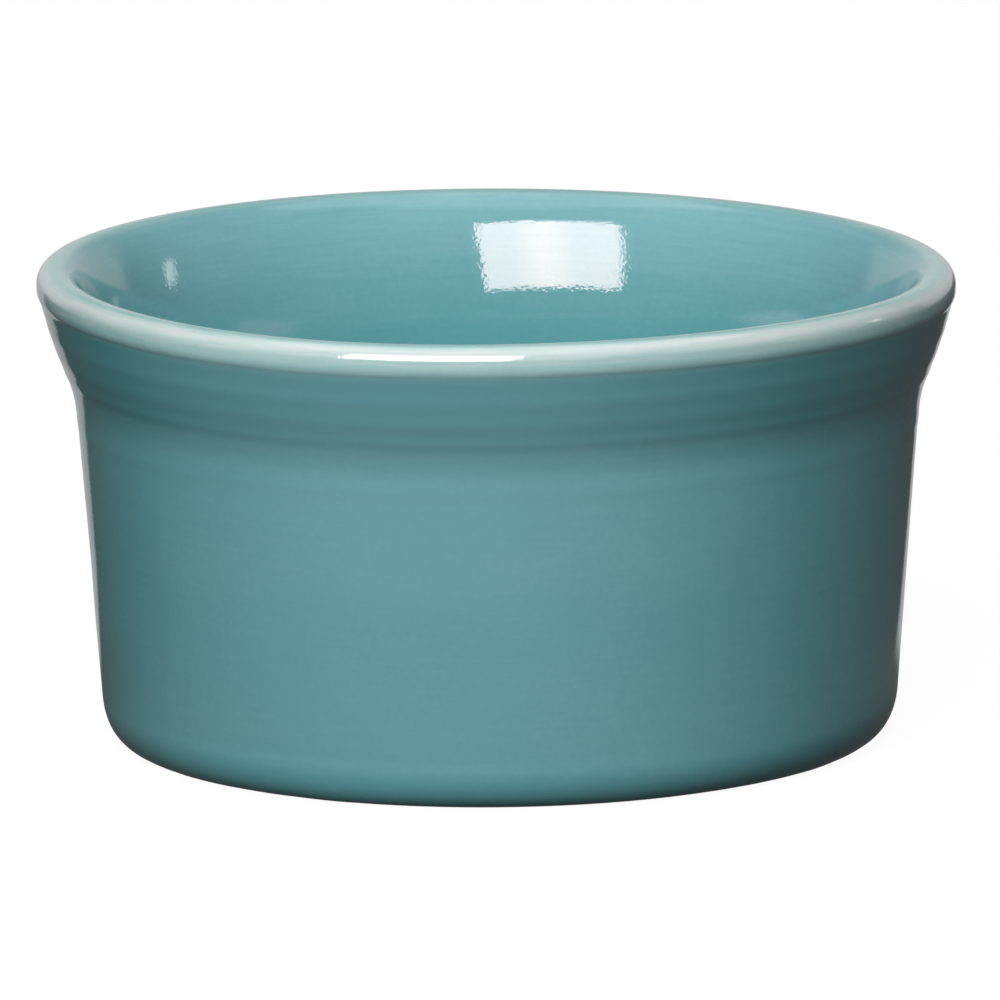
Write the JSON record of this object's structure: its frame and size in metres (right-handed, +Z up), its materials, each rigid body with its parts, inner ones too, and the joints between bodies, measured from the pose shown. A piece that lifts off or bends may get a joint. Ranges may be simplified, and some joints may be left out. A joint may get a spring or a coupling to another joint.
{
  "type": "ramekin",
  "caption": "Round straight-sided ceramic baking dish with a flared rolled lip, soft rings under the lip, an all-over coloured glaze and a dry foot ring.",
  "frame": {"origin": "centre of the foot ring, on the table plane that the dish stands on", "axes": "+Z up along the dish's axis, through the open top; the dish is round, so +X and +Y are free"},
  "size_m": [0.1044, 0.1044, 0.0545],
  "materials": {
    "clay": "fired stoneware clay, unglazed and slightly rough",
    "glaze": "glossy turquoise glaze, paler where it thins on the lip"
  },
  "bodies": {
    "root": {"ceramic_body": "clay", "glaze_coat": "glaze", "base_glaze": "glaze"}
  },
  "joints": []
}
